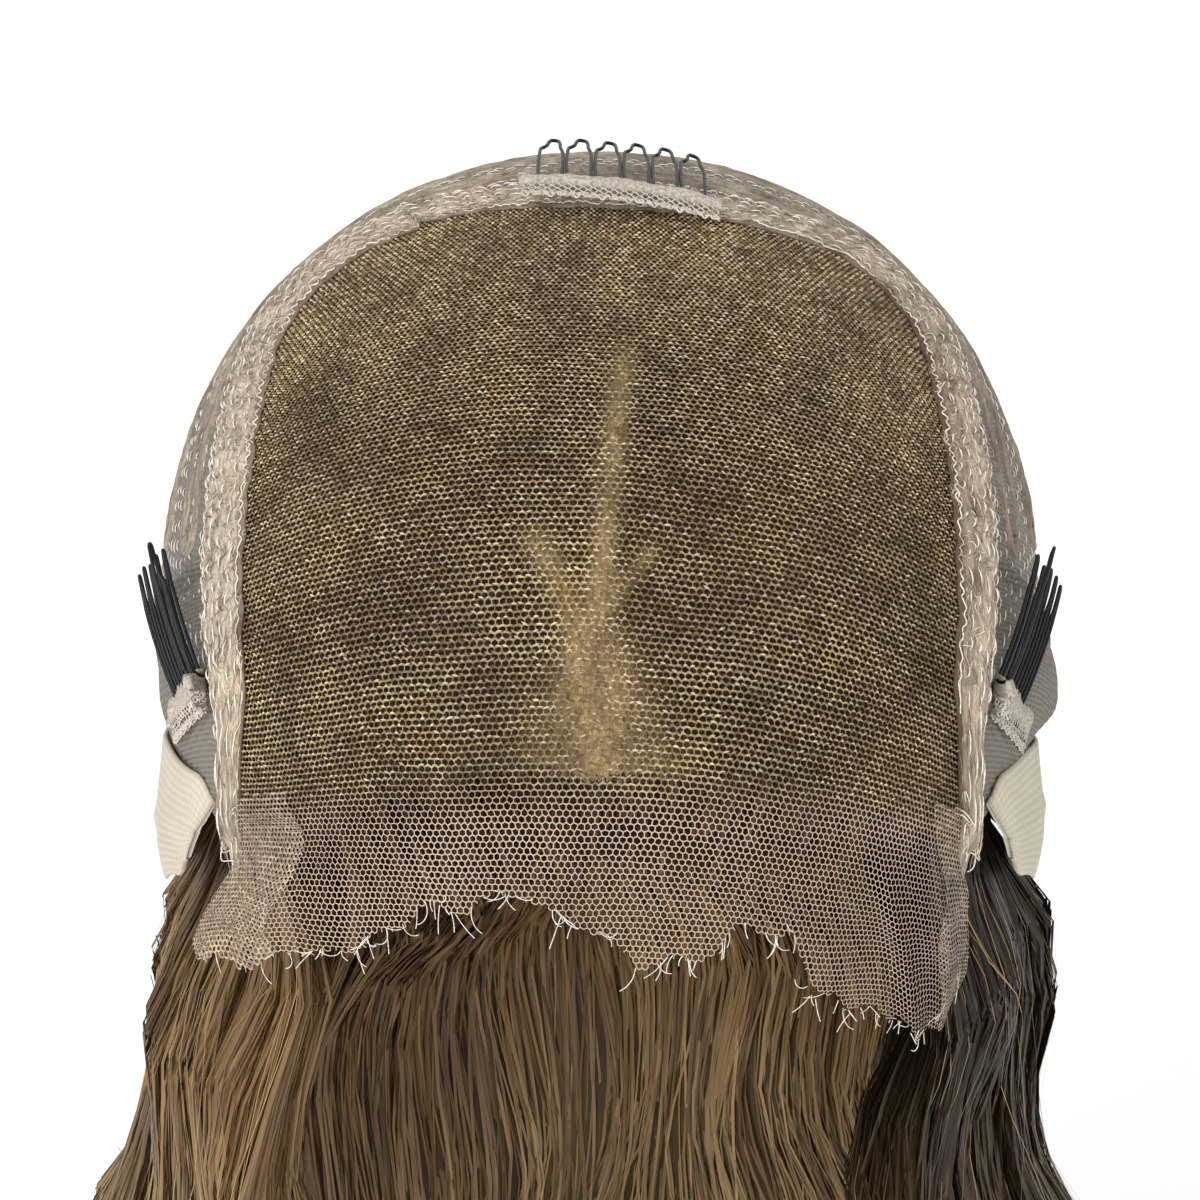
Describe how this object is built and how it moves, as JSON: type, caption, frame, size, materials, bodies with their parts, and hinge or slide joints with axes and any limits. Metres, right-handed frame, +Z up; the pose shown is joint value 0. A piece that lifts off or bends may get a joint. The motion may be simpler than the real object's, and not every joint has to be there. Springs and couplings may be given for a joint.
{
  "type": "lace closure wig, worn inside out",
  "caption": "Wig on a stretch cap with a lace closure, sewn weft band, wire combs, elastic band and long waved hair, held inside out.",
  "frame": {"origin": "the point under the crown where the wig rests on a head", "axes": "+Z up, the sheer lace at the forehead faces -Y, the wig's -X side is the left of a front view"},
  "size_m": [0.2171, 0.2053, 0.4292],
  "materials": {
    "lace_net": "matt beige hexagonal net",
    "closure_hair": "dark brown knotted hair under the net, golden in patches",
    "weft_band": "puckered tan and taupe wefting with white stitches",
    "cap_cloth": "taupe stretch net with a fine diagonal weave and white stitches",
    "rib_knit": "tan rib knit",
    "picot_tape": "cream openwork tape with a picot edge",
    "black_wire": "glossy black coated wire with a faint blue sheen",
    "elastic": "ivory ribbed elastic",
    "waved_hair": "silky waved hair, ash blond over dark brown"
  },
  "bodies": {
    "root": {"lace_closure": "lace_net", "closure_hair": "closure_hair", "closure_seam": "weft_band", "crown_cap": "cap_cloth", "crown_hair": "waved_hair", "ear_panel_left": "rib_knit", "ear_panel_right": "rib_knit", "comb_tape_top": "picot_tape", "wire_comb_top": "black_wire", "comb_tape_left": "picot_tape", "wire_comb_left": "black_wire", "comb_tape_right": "picot_tape", "wire_comb_right": "black_wire", "elastic_band": "elastic", "hair_left": "waved_hair", "hair_back": "waved_hair", "hair_right": "waved_hair"}
  },
  "joints": []
}
